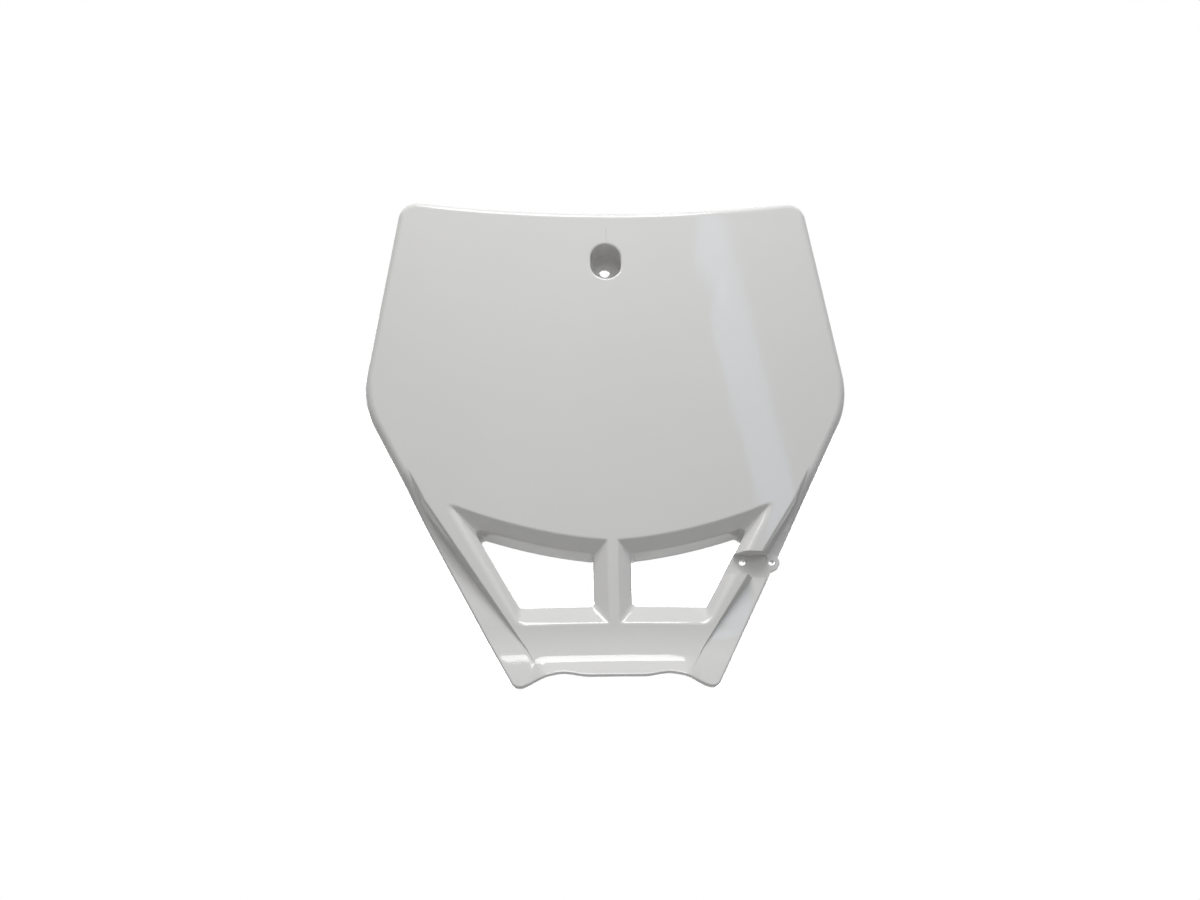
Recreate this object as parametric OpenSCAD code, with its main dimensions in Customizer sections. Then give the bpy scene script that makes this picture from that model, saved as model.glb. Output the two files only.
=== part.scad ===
// Front number board of an off-road motorcycle: one thin moulding with a curved face, a rim that
// turns back all round, two air windows with deep lips, a screw cup near the top, a lower flange
// stepped back at each side, a flared chin and a seat for the guide of the brake hose.
// X runs to the right as seen from the front, Y runs from the face to the back, Z runs up.
// The origin is the centre of the screw hole, on the seat of the screw's head.

/* [Outline] */
// Width between the waist corners, before they are rounded
waist_w = 257; // [251:1:263]
// Width between the top corners, before they are rounded
top_w = 219; // [210:1:228]
// Width between the foot corners, before they are rounded
foot_w = 97; // [94:1:101]
// Height of the top corners above the screw hole
top_rise = 45; // [40:1:50]
// Drop from the screw hole to the waist corners
waist_drop = 72; // [62:1:82]
// Drop from the screw hole to the foot corners
foot_drop = 235; // [232:1:240]
// Dip of the top edge between its corners
top_dip = 15; // [8:1:18]
// Radius of the top corners
top_corner_r = 9; // [6:0.5:11]
// Radius of the waist corners
waist_r = 50; // [35:1:60]
// Radius of the foot corners
foot_r = 5; // [3:0.5:6]
// Height of the middle of the bottom edge above the foot corners
foot_rise = 6.5; // [5:0.5:8]
// Height of the two arches above the middle of the bottom edge
arch_rise = 2; // [0:0.5:3]
// Distance of each arch from the middle
arch_x = 26; // [22:1:30]

/* [Shell] */
// Thickness of the moulding
wall = 2.5; // [2:0.1:2.8]
// Radius of the face, about an upright line behind it
face_r = 450; // [350:10:900]
// Radius of the rim's rounded edge, above the flanges
rim_r = 4; // [3.5:0.1:4.5]
// Depth of the rim behind the face, above the flanges
rim_depth = 9; // [8:0.5:12]

/* [Chin] */
// Height of the chin, from the foot corners up to the windows
chin_h = 35.2; // [34:0.1:37]
// Lean of the chin towards the front, in degrees
chin_tilt = 15; // [5:1:20]
// Lean of the lip along the bottom edge, in degrees
lip_tilt = 32; // [20:1:36]
// Height of the lip above the foot corners
lip_h = 19; // [16:0.5:22]

/* [Windows] */
// Width of the bar between the windows
bar_w = 5; // [4.6:0.1:8]
// Drop from the screw hole to the upper edge of the windows, at the bar
window_top = 156.5; // [150:0.5:164]
// Distance of the windows' outer tips from the middle
tip_x = 82.4; // [80:0.1:83]
// Drop from the screw hole to the windows' outer tips
tip_drop = 134.1; // [132:0.1:138]
// Distance of the windows' lower outer corners inwards from the foot corners
sill_inset = 2; // [1.5:0.5:4]
// Sag of the upper edge between the bar and the tip
window_sag = 4; // [2:0.1:5]
// Width of the bevel along the upper edge
bevel_top = 5.7; // [4:0.1:6.5]
// Width of the bevel along the lower edge
bevel_bottom = 10.3; // [7:0.1:11]
// Width of the bevel along the bar
bevel_bar = 6.9; // [5:0.1:9]
// Width of the bevel along the slanted edge
bevel_side = 5.2; // [3.5:0.1:6]
// Depth of the bevels
bevel_depth = 6; // [4:0.1:8]
// Depth from the face to the back end of the lips
lip_depth = 17.5; // [14:0.5:20]
// Inward lean of the lips, from the foot of the bevels to their back end
lip_lean = 1.2; // [0:0.1:1.5]

/* [Side flanges] */
// Drop from the screw hole to where the flanges start
flange_start = 112; // [106:1:116]
// Drop from the screw hole to where the step is deepest
step_drop = 148; // [144:1:152]
// Drop from the screw hole to where the step has run out
step_end = 218; // [214:1:220]
// Greatest depth of the step from the ridge down to the flange
step_depth = 9; // [6:0.5:10]
// Width of the flange and its step where the step is deepest
flange_w = 7.8; // [7:0.1:9]
// Width of the flange and its step where the step has run out
flange_end_w = 16.7; // [15:0.1:17.5]
// Radius of the flange's edge
edge_r = 1.2; // [0.8:0.1:1.5]

/* [Screw cup] */
// Diameter of the screw hole
screw_d = 5.2; // [4:0.1:6.5]
// Width of the cup's mouth
cup_w = 16; // [13:0.5:18]
// Height of the cup's mouth
cup_h = 20; // [18:0.5:24]
// Depth from the face to the seat of the screw's head
cup_depth = 14; // [10:0.5:18]
// Thickness of the cup's side wall
cup_wall = 2; // [1.5:0.1:2.5]

/* [Hose guide seat] */
// Drop from the screw hole to the two guide holes
guide_drop = 164.5; // [162:0.5:167]
// Distance of the inner guide hole from the middle of the plate
guide_x = 66; // [65:0.5:67.5]
// Distance between the two guide holes
guide_pitch = 15; // [14.5:0.1:16]
// Diameter of the guide holes
guide_hole_d = 3.1; // [2.5:0.1:3.5]
// Height of the seat's flat floor
seat_h = 12.5; // [11.5:0.1:13]
// Height of the seat's upper wall above the guide holes
seat_rise = 3.9; // [3.5:0.1:4.5]
// Depth from the middle of the face to the seat's floor
seat_depth = 13.5; // [13:0.1:14]
// Radius of the ear round the outer hole
ear_r = 4.2; // [3.5:0.1:5]
// Diameter of the shallow dish between the holes
dish_d = 11; // [8:0.5:11]
// Depth of the shallow dish
dish_depth = 0.8; // [0.4:0.1:1.2]
// Thickness of the seat's side walls
seat_wall_t = 2; // [1.5:0.1:2.5]

/* [Hidden] */
$fn = 40;

top_corner = [top_w / 2, top_rise];
waist_corner = [waist_w / 2, -waist_drop];
foot_corner = [foot_w / 2, -foot_drop];

// The inner radius of a bend keeps at least this much
least_r = 0.4;
// Width of the step's slope where it has run out, and its gain in width for each mm of depth
least_step_w = 0.6;
step_lean = 0.4;
// Shares of the skin's thickness by which the bends at the windows' contour and at the step move in
// plan from the front skin to the back one
bevel_bend = 0.4;
step_bend = 0.63;
// Shares of the smooth curve that the step's depth follows, from where it has run out to its deepest
step_ease = [0.1, 0.85];
// Above the flanges: how far below their start, and over what height, the step's lines spread
spread_lead = 4;
spread_run = 35;
// Above the flanges: distance from the rim's rounding to the ridge's line, and from there to the base's
rest_ridge = 8;
rest_w = 5;
// Least distance from the rim's rounding to the ridge, and the step's width where it starts
ridge_gap = 1.5;
ridge_start_w = 0.9;
// Heights over which the chin and its lip bend forwards, and the straight stretch above the chin
chin_bend = 16;
lip_bend = 5;
chin_gap = 0.7;
// The lip ends this far in from the foot corners, over this width
crease_inset = 15;
crease_w = 8;
// Slopes with which the windows' upper and slanted edges are carried on past the tip
past_tip_rise = 0.37;
past_tip_lean = 0.03;
// Length along x that a mm square to the windows' slanted edge takes
side_slant = 1.13;
// How far the flange's edge turns back past its wall
edge_turn = 0.8;
// Heights of the seat's upper and lower walls
seat_top = seat_rise - guide_drop;
seat_bottom = seat_top - seat_h;
// Room between the dish and the seat's upper wall
seat_fillet = 0.3;
// Share of the dish's width between its centre and the seat's upper wall
dish_cut = 0.18;
// Drop from the screw hole to the lower edge of the windows
window_bottom = foot_drop - chin_h;
// Distance of the windows' lower outer corners from the middle
sill_x = foot_w / 2 - sill_inset;
// Lowest end of the stretch over which the flange grows out of the rim
flange_full = step_drop - 2;

// Steps of the grid between one feature line and the next, as shares of the way across
bar_steps = [0, 1];
window_steps = [0, 0.02, 0.05, 0.11, 0.22, 0.36, 0.5, 0.64, 0.78, 0.89, 0.95, 0.98, 1];
ridge_steps = [0, 0.33, 0.67, 1];
step_steps = [0, 0.15, 0.35, 0.65, 0.85, 1];
flange_steps = [0, 0.4, 0.75, 1];
chin_steps = [0, 0.1, 0.22, 0.34, 0.46, 0.6, 0.8, 1];
post_steps = [0, 0.04, 0.1, 0.22, 0.41, 0.6, 0.78, 0.9, 0.96, 1];
face_steps = [0, 0.05, 0.12, 0.18, 0.23, 0.27, 0.31, 0.35, 0.39, 0.44, 0.5, 0.61, 0.735, 0.85, 0.93,
    0.965, 0.985, 1];
// Angles of the rim's rounding, from its side wall to the face
rim_angles = [0, 22.5, 45, 67.5];

function mix(a, b, t) = a + (b - a) * t;
function smooth(t) = let (s = min(1, max(0, t))) s * s * (3 - 2 * s);
function unit(v) = v / norm(v);
// Rises from 0, with a slope that grows evenly to 1 at t = 1 and then stays
function ease_in(t) = t <= 0 ? 0 : t < 1 ? t * t / 2 : t - 1 / 2;

// Outline: x of the side at height z, then z of the top and bottom edges at x

waist_up = unit(top_corner - waist_corner);
waist_down = unit(foot_corner - waist_corner);
waist_half_angle = acos(waist_up * waist_down) / 2;
waist_centre = waist_corner + unit(waist_up + waist_down) * waist_r / sin(waist_half_angle);
waist_reach = waist_r / tan(waist_half_angle);
waist_arc_top = (waist_corner + waist_up * waist_reach).y;
waist_arc_bottom = (waist_corner + waist_down * waist_reach).y;

function side_x(z) =
    z > waist_arc_top ? mix(waist_corner.x, top_corner.x, (z + waist_drop) / (top_rise + waist_drop))
    : z < waist_arc_bottom ? mix(foot_corner.x, waist_corner.x, (z + foot_drop) / (foot_drop - waist_drop))
    : waist_centre.x + sqrt(waist_r ^ 2 - (z - waist_centre.y) ^ 2);

function top_z(x) = top_rise - top_dip * (1 - (x / top_corner.x) ^ 2);

function bottom_z(x) =
    let (mid = foot_rise - foot_drop, arch = mid + arch_rise)
    x < arch_x / 2 ? mid
    : x < arch_x ? mix(mid, arch, smooth(2 * x / arch_x - 1))
    : arch - (foot_rise + arch_rise) * ((x - arch_x) / (foot_corner.x - arch_x)) ^ 1.6;

// Length along x or z that an inset square to the outline takes, for the slope of the line there
function side_stretch(z) = norm([1, (side_x(z + 0.5) - side_x(z - 0.5))]);
function top_stretch(x) = norm([1, top_z(x + 0.5) - top_z(x - 0.5)]);
function bottom_stretch(x) = norm([1, bottom_z(x + 0.5) - bottom_z(x - 0.5)]);

// Corners: a square corner of the grid is turned into a round one

// A corner is kept as its centre, its two edge directions away from the corner, and the edges'
// outward normals
function corner(before, at, after, r) =
    let (u = unit(before - at), v = unit(after - at))
    [at + unit(u + v) * r / sin(acos(u * v) / 2), u, v, unit(u * (u * v) - v), unit(v * (u * v) - u)];

top_round = corner(waist_corner, top_corner,
    [top_corner.x - top_corner_r, top_z(top_corner.x - top_corner_r)], top_corner_r);
foot_round = corner([foot_corner.x - foot_r, bottom_z(foot_corner.x - foot_r)], foot_corner,
    waist_corner, foot_r);

// Moves a point in the corner's sector so that squares about the corner's centre become circles
function soften(p, c) =
    let (d = p - c[0])
    d * c[1] < 0 && d * c[2] < 0 ? c[0] + unit(d) * max(d * c[3], d * c[4]) : p;

// Flanges: how far each has grown out of the rim at height z, and its depth and place

function growth(z) = smooth((-flange_start - z) / (flange_full - flange_start));
function step_left(z) = (z + step_end) / (step_end - step_drop);
function step_at(z) = step_depth * growth(z) * smooth(mix(step_ease[0], step_ease[1], step_left(z)));
function edge_round(z) = mix(rim_r, edge_r, growth(z));
function edge_depth(z) = mix(rim_depth, wall + edge_turn, growth(z));
function step_w(z) = least_step_w + step_lean * step_depth * smooth(step_left(z));

// Above the flanges the grid's step lines run a little way in from the rim
function spread(z) = smooth((z + flange_start + spread_lead) / spread_run);
function ridge_inset(z) =
    let (low = mix(flange_w, flange_end_w, min(1, (-step_drop - z) / (step_end - 6 - step_drop))))
    mix(max(rim_r + ridge_gap, low), rim_r + rest_ridge, spread(z));
function base_inset(z) = ridge_inset(z) - mix(mix(ridge_start_w, step_w(z), growth(z)), rest_w, spread(z));

// Depth of the skin's surface behind the middle of the face

function foot_flare(z) = chin_bend * tan(chin_tilt) * ease_in((-window_bottom - chin_gap - z) / chin_bend);
function chin_flare(z) = foot_flare(z)
    + lip_bend * (tan(lip_tilt) - tan(chin_tilt)) * ease_in((lip_h - foot_drop - z) / lip_bend);
function flare(x, z) =
    mix(chin_flare(z), foot_flare(z), smooth((x - foot_corner.x + crease_inset) / crease_w));
function flare_stretch(x, z) = norm([1, flare(x, z - 0.5) - flare(x, z + 0.5)]);

// g is how far the surface lies inside the front skin: 0 in front and wall behind
function surface_y(x, z, g) =
    face_r - sqrt((face_r - g) ^ 2 - x ^ 2) - flare(x, z) + g * (flare_stretch(x, z) - 1);

// Windows: the upper edge, and the slanted edge, at a given share w of the way down the bevels

function window_top_z(x) =
    let (t = (x - bar_w / 2) / (tip_x - bar_w / 2))
    t < 1 ? mix(-window_top, -tip_drop, t) - 4 * window_sag * t * (1 - t)
    : -tip_drop + (x - tip_x) * past_tip_rise;
function window_side_x(z) =
    z > -tip_drop ? tip_x + (z + tip_drop) * past_tip_lean
    : mix(sill_x, tip_x, (z + window_bottom) / (window_bottom - tip_drop));

// Grid: column i and row j cross at a point that is found by going to and fro between the two

columns = concat([for (t = bar_steps) t], [for (t = window_steps) if (t > 0) 1 + t],
    [for (t = ridge_steps) if (t > 0) 2 + t], [for (t = step_steps) if (t > 0) 3 + t],
    [for (t = flange_steps) if (t > 0) 4 + t]);
rows = concat([for (t = chin_steps) t], [for (t = post_steps) if (t > 0) 1 + t],
    [for (t = face_steps) if (t > 0) 2 + t]);
last_col = len(columns) - 1;
last_row = len(rows) - 1;
window_cols = [len(bar_steps) - 1, len(bar_steps) + len(window_steps) - 2];
window_rows = [len(chin_steps) - 1, len(chin_steps) + len(post_steps) - 2];

// w is 0 at the windows' contour, 1 at the foot of the bevels and 2 at the end of the lips, and g the
// depth inside the skin
function rim_inset(z, angle, g) =
    let (r = g > 0 ? max(least_r, edge_round(z) - g) : edge_round(z))
    g + r * (1 - cos(angle));

// How far the window's contour has moved in at w along a bevel of the given width, for the skin at g
function window_inset(width, w, g) =
    width * min(1, w) + lip_lean * max(0, w - 1) - g * mix(bevel_bend, 1, min(1, w));

function column_x(c, z, angle, w, g) =
    let (thick = step_bend * g * growth(z),
        lines = [0,
            bar_w / 2 + window_inset(bevel_bar, w, g),
            window_side_x(z) - window_inset(bevel_side, w, g) * side_slant,
            side_x(z) - ridge_inset(z) - thick,
            side_x(z) - base_inset(z) - thick,
            side_x(z) - rim_inset(z, angle, g) * side_stretch(z)],
        k = min(4, floor(c)))
    mix(lines[k], lines[k + 1], c - k);

function row_z(r, x, angle, w, g) =
    let (low = bottom_z(x),
        high = top_z(x),
        lines = [low + rim_inset(low, angle, g) * bottom_stretch(x),
            -window_bottom + window_inset(bevel_bottom, w, g),
            window_top_z(x) - window_inset(bevel_top, w, g),
            high - rim_inset(high, angle, g) * top_stretch(x)],
        k = min(2, floor(r)))
    mix(lines[k], lines[k + 1], r - k);

function crossing(c, r, angle, w, g, p, n) =
    n == 0 ? p
    : let (x = column_x(c, p.y, angle, w, g))
        crossing(c, r, angle, w, g, [x, row_z(r, x, angle, w, g)], n - 1);

// Plan place of a grid point on the right half
function place(i, j, angle, w, g) =
    let (start = [tip_x * i / last_col, mix(-foot_drop, top_rise, j / last_row)],
        p = crossing(columns[i], rows[j], angle, w, g, start, 9))
    soften(soften(p, top_round), foot_round);

// Share of the step that a column has gone down
function step_share(i) = smooth(columns[i] - 3);

function mirrored(p, side) = [p.x * side, p.y, p.z];

// A point of the skin inside the rim
function web_point(i, j, g) =
    let (p = place(abs(i), j, 90, 0, g), step = step_at(p.y) * step_share(abs(i)))
    mirrored([p.x, surface_y(p.x, p.y, g) + step, p.y], i < 0 ? -1 : 1);

// A point of the rim, where ring 0 is its back end
function rim_point(i, j, ring, g) =
    let (angle = rim_angles[max(0, ring - 1)],
        p = place(abs(i), j, angle, 0, g),
        r = g > 0 ? max(least_r, edge_round(p.y) - g) : edge_round(p.y),
        turned = ring == 0 ? edge_depth(p.y) : g + r * (1 - sin(angle)),
        back = surface_y(p.x, p.y, 0) + step_at(p.y) * step_share(abs(i)) + turned)
    mirrored([p.x, back, p.y], i < 0 ? -1 : 1);

// Radii of a window's corners: at the foot of the bevels, then at the contour's sill, then elsewhere
hole_corner_r = 2.5;
sill_corner_r = 7;
contour_r = 1;

function window_corners(w, g) =
    let (at = [for (q = [[1, 1], [2, 1], [2, 2], [1, 2]])
        crossing(q.x, q.y, 90, w, g, [tip_x, -window_top], 9)])
    [for (k = [0:3])
        corner(at[(k + 3) % 4], at[k], at[(k + 1) % 4],
            (w > 0 ? hole_corner_r : k == 1 ? sill_corner_r : contour_r) + g * min(1, w))];

bevel_corners = [for (w = [0, 1, 2]) [for (g = [0, wall]) window_corners(w, g)]];

function round_window(p, c) = soften(soften(soften(soften(p, c[0]), c[1]), c[2]), c[3]);

// A point of a window's funnel: ring 0 is at the face, 1 at the foot of the bevel, 2 at the lip's end
function funnel_point(i, j, ring, g) =
    let (sharp = crossing(columns[abs(i)], rows[j], 90, ring, g, [tip_x, -window_top], 9),
        p = round_window(sharp, bevel_corners[ring][g > 0 ? 1 : 0]),
        y = ring == 0 ? surface_y(p.x, p.y, g)
            : ring == 1 ? surface_y(p.x, p.y, g) + bevel_depth - 0.5 * g
            : surface_y(p.x, p.y, 0) + lip_depth)
    mirrored([p.x, y, p.y], i < 0 ? -1 : 1);

// Loops of grid places, anticlockwise as seen from the front
function loop(i0, i1, j0, j1) = concat([for (i = [i0:1:i1 - 1]) [i, j0]], [for (j = [j0:1:j1 - 1]) [i1, j]],
    [for (i = [i1:-1:i0 + 1]) [i, j1]], [for (j = [j1:-1:j0 + 1]) [i0, j]]);

rim_loop = loop(-last_col, last_col, 0, last_row);
window_loops = [loop(window_cols[0], window_cols[1], window_rows[0], window_rows[1]),
    loop(-window_cols[1], -window_cols[0], window_rows[0], window_rows[1])];

function in_window(i, j) =
    abs(i + 0.5) > window_cols[0] && abs(i + 0.5) < window_cols[1]
    && j >= window_rows[0] && j < window_rows[1];
function on_window(i, j) =
    abs(i) >= window_cols[0] && abs(i) <= window_cols[1] && j >= window_rows[0] && j <= window_rows[1];

// Points of one skin: the grid first, then the rim's rings, then the rings of both windows
function skin_points(g) = concat(
    [for (i = [-last_col:last_col]) for (j = [0:last_row])
        on_window(i, j) ? funnel_point(i, j, 0, g) : web_point(i, j, g)],
    [for (ring = [0:len(rim_angles)]) for (q = rim_loop) rim_point(q.x, q.y, ring, g)],
    [for (w = window_loops) for (ring = [1, 2]) for (q = w) funnel_point(q.x, q.y, ring, g)]);

grid_count = (2 * last_col + 1) * (last_row + 1);
rim_count = len(rim_loop);
window_count = len(window_loops[0]);
rim_rings = len(rim_angles) + 1;
skin_count = grid_count + rim_rings * rim_count + 4 * window_count;

function grid_id(i, j) = (i + last_col) * (last_row + 1) + j;
// Numbers of the points of one ring, from the outside inwards
function rim_ids(ring) = ring == rim_rings ? [for (q = rim_loop) grid_id(q.x, q.y)]
    : [for (k = [0:rim_count - 1]) grid_count + ring * rim_count + k];
function window_ids(side, ring) = ring == 0 ? [for (q = window_loops[side]) grid_id(q.x, q.y)]
    : [for (k = [0:window_count - 1])
        grid_count + rim_rings * rim_count + (2 * side + ring - 1) * window_count + k];

// Two triangles for four points given anticlockwise as seen from the front, split from b to d or from a to c
function quad(a, b, c, d, split_bd) = split_bd ? [[a, b, d], [b, c, d]] : [[a, b, c], [a, c, d]];
function strip(outside, inside) = [for (k = [0:len(outside) - 1])
    let (n = (k + 1) % len(outside))
    each quad(outside[k], outside[n], inside[n], inside[k], false)];

function web_faces() = [for (i = [-last_col:last_col - 1]) for (j = [0:last_row - 1]) if (!in_window(i, j))
    each quad(grid_id(i, j), grid_id(i + 1, j), grid_id(i + 1, j + 1), grid_id(i, j + 1),
        (i >= 0) == (j < window_rows[1]))];

front_faces = concat(web_faces(),
    [for (ring = [0:rim_rings - 1]) each strip(rim_ids(ring), rim_ids(ring + 1))],
    [for (side = [0, 1]) for (ring = [0, 1])
        each strip(window_ids(side, ring), window_ids(side, ring + 1))]);

function behind(ids) = [for (k = ids) k + skin_count];
function reversed(face) = [face[2], face[1], face[0]];

// The moulding's skin: the front surface, the same net of faces behind it, and the ends of rim and lips
module skin() {
    polyhedron(
        points = concat(skin_points(0), skin_points(wall)),
        faces = concat([for (f = front_faces) reversed(f)], [for (f = front_faces) behind(f)],
            strip(rim_ids(0), behind(rim_ids(0))),
            [for (side = [0, 1]) each strip(behind(window_ids(side, 2)), window_ids(side, 2))]),
        convexity = 10);
}

// Extrudes an outline drawn in x and z from the depth y0 back to the depth y1
module through(y0, y1) {
    translate([0, y1, 0]) rotate([90, 0, 0]) linear_extrude(y1 - y0) children();
}

module cup_outline(grown) {
    for (s = [-1, 1]) translate([0, s * (cup_h - cup_w) / 2]) circle(d = cup_w + 2 * grown);
    square([cup_w + 2 * grown, cup_h - cup_w], center = true);
}

module cup() {
    through(wall / 2, cup_depth + wall) cup_outline(cup_wall);
}

// Half way into the skin on a column, for the seat's walls, which end inside the skin
function mid_skin(c, z, w) =
    let (g = wall / 2, x = column_x(c, z, 90, w, g))
    [x, surface_y(x, z, g) + bevel_depth * w + step_at(z) * smooth(c - 3)];

// One wall of the seat, from the floor up to the skin
module seat_wall(side) {
    z = side > 0 ? seat_top : seat_bottom;
    outer = z + side * seat_wall_t;
    inner = z - side * seat_wall_t / 2;
    mid = (z + outer) / 2;
    section = concat([mid_skin(2, mid, 1), mid_skin(2, mid, 0)],
        [for (t = step_steps) mid_skin(3 + t, mid, 0)], [mid_skin(5, mid, 0)]);
    back = seat_depth + wall;
    translate([0, 0, min(outer, inner)]) linear_extrude(abs(outer - inner))
        polygon(concat(section, [[section[len(section) - 1].x, back], [section[0].x, back]]));
}

// The seat's flat floor, from inside the window's lip out to the ear round the outer hole
module seat_floor() {
    low = seat_bottom - seat_wall_t / 3;
    high = seat_top + seat_wall_t / 3;
    through(seat_depth, seat_depth + wall) {
        polygon([[column_x(2, low, 90, 1.5, wall / 3), low], [side_x(low) - edge_r, low],
            [side_x(high) - ear_r, high], [column_x(2, high, 90, 1.5, wall / 3), high]]);
        hull() {
            translate([guide_x + guide_pitch, -guide_drop]) circle(ear_r);
            translate([guide_x + guide_pitch / 2, seat_bottom + 0.5]) square([1, seat_h - 1]);
        }
    }
}

module notch() {
    translate([guide_x - guide_pitch, -foot_drop, seat_bottom])
        cube([waist_w / 4, foot_drop + seat_depth, seat_h]);
}

// Shallow dish in the floor, cut short by the upper wall
module dish() {
    through(seat_depth - 1, seat_depth + dish_depth) intersection() {
        translate([guide_x + guide_pitch / 2, seat_top - dish_d * dish_cut]) circle(d = dish_d);
        translate([guide_x, seat_bottom]) square([guide_pitch, seat_h - seat_fillet]);
    }
}

module bore(x, z, d, y0, y1) {
    translate([x, y0, z]) rotate([-90, 0, 0]) cylinder(d = d, h = y1 - y0);
}

// The skin with its hose guide seat, handed on as one closed mesh
module shell() {
    resize([0, 0, 0]) difference() {
        union() {
            skin();
            for (side = [-1, 1]) seat_wall(side);
            seat_floor();
        }
        notch();
        dish();
    }
}

module number_plate() {
    color("white") translate([0, -cup_depth, 0]) difference() {
        union() {
            shell();
            cup();
        }
        through(-wall, cup_depth) cup_outline(0);
        bore(0, 0, screw_d, cup_depth - 1, cup_depth + wall + 1);
        for (k = [0, 1])
            bore(guide_x + k * guide_pitch, -guide_drop, guide_hole_d, seat_depth - 1, seat_depth + wall + 3);
    }
}

number_plate();
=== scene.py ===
import math

import bmesh
import bpy
import numpy as np
from mathutils import Matrix, Quaternion, Vector


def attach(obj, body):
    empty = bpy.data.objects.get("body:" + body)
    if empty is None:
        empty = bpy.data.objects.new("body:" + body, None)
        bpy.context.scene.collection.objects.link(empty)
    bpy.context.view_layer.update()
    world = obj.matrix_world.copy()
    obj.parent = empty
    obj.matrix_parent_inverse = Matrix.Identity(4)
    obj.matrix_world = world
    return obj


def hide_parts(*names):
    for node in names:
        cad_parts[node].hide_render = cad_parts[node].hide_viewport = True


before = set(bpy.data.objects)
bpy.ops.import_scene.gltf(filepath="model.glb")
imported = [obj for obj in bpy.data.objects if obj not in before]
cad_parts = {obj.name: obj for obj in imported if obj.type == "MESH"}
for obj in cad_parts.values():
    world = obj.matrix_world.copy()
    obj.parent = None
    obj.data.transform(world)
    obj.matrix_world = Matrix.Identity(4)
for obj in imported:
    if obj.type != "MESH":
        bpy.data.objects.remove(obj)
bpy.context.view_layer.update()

MM = 0.001

# Camera: the photograph's view, from 22 degrees under the plate's normal

PITCH, YAW, ROLL = math.radians(22), math.radians(2.95), math.radians(-1.28)
LOOK, DISTANCE = Vector((-5.28, -14.0, -108.13)) * MM, 0.960
SENSOR, LENS = 36, 56.6


def make_camera():
    level = math.cos(PITCH)
    fwd = Vector((level * math.sin(YAW), level * math.cos(YAW), math.sin(PITCH)))
    right = fwd.cross(Vector((0, 0, 1))).normalized()
    up = right.cross(fwd)
    rolled = math.cos(ROLL) * right + math.sin(ROLL) * up
    up = math.cos(ROLL) * up - math.sin(ROLL) * right
    cam = bpy.data.objects.new("camera", bpy.data.cameras.new("camera"))
    bpy.context.scene.collection.objects.link(cam)
    turned = Matrix((rolled, up, -fwd)).transposed().to_4x4()
    cam.matrix_world = Matrix.Translation(LOOK - DISTANCE * fwd) @ turned
    cam.data.sensor_width = SENSOR
    cam.data.lens = LENS
    cam.data.clip_start, cam.data.clip_end = 0.01, 50
    bpy.context.scene.camera = cam


make_camera()

# The plate's sizes in mm, as in the solid: x from the middle, z from the screw hole, y back
# from the face

WAIST_W, TOP_W, FOOT_W = 257.0, 219.0, 97.0
TOP_RISE, WAIST_DROP, FOOT_DROP = 45.0, 72.0, 235.0
TOP_DIP, TOP_R, WAIST_R, FOOT_R = 15.0, 9.0, 50.0, 5.0
FOOT_RISE, ARCH_RISE, ARCH_X = 6.5, 2.0, 26.0
WALL, FACE_R, RIM_R, RIM_DEPTH = 2.5, 450.0, 4.0, 9.0
CHIN_TILT, LIP_TILT, LIP_H, CHIN_H = 15.0, 32.0, 19.0, 35.2
BAR_W, WINDOW_TOP, WINDOW_BOTTOM = 5.0, 156.5, FOOT_DROP - CHIN_H
TIP_X, TIP_DROP, SILL_X, SAG = 82.4, 134.1, 46.5, 4.0
BEVEL_TOP, BEVEL_BOTTOM, BEVEL_BAR, BEVEL_SIDE, BEVEL_DEPTH = 5.7, 10.3, 6.9, 5.2, 6.0
LIP_DEPTH, LIP_LEAN = 17.5, 1.2
FLANGE_START, STEP_DROP, STEP_END, STEP_DEPTH = 112.0, 148.0, 218.0, 9.0
FLANGE_W, FLANGE_END_W, EDGE_R, EDGE_TURN = 7.8, 16.7, 1.2, 0.8
SCREW_D, CUP_W, CUP_H, CUP_DEPTH, CUP_WALL = 5.2, 16.0, 20.0, 14.0, 2.0
GUIDE_DROP, GUIDE_X, GUIDE_PITCH, GUIDE_D = 164.5, 66.0, 15.0, 3.1
SEAT_H, SEAT_RISE, SEAT_DEPTH, SEAT_WALL = 12.5, 3.9, 13.5, 2.0
EAR_R, DISH_D, DISH_DEPTH = 4.2, 11.0, 0.8
SEAT_TOP = SEAT_RISE - GUIDE_DROP
SEAT_BOTTOM = SEAT_TOP - SEAT_H
LEAST_R, END_EASE = 0.4, 0.35

# How the flanges' step and ridge grow down the sides, and where the chin and the windows bend

STEP_EASE, STEP_SHARE, STEP_START = 2.0, 0.75, 0.1
LEAST_STEP_W, STEP_LEAN, STEP_SLANT = 0.6, 0.4, 0.63
RIDGE_START_W, RIDGE_GAP, RIDGE_RUN_OUT, REST_RIDGE, REST_W = 0.9, 1.5, 6.0, 8.0, 5.0
SPREAD_LEAD, SPREAD_RUN = 4.0, 35.0
CHIN_START, CHIN_BEND, LIP_BEND = -WINDOW_BOTTOM - 0.7, 16.0, 5.0
CREASE_INSET, CREASE_W, ARCH_POWER = 15.0, 8.0, 1.6
PAST_TIP_RISE, PAST_TIP_LEAN, SIDE_SLANT, BEVEL_THICK = 0.37, 0.03, 1.13, 0.4


def mix(a, b, t):
    return a + (b - a) * t


def smooth(t):
    s = np.clip(t, 0, 1)
    return s * s * (3 - 2 * s)


def unit(v):
    v = np.asarray(v, float)
    return v / np.linalg.norm(v)


def ease_in(t):
    return np.where(t <= 0, 0, np.where(t < 1, t * t / 2, t - 0.5))


def tan(degrees):
    return math.tan(math.radians(degrees))


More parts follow.
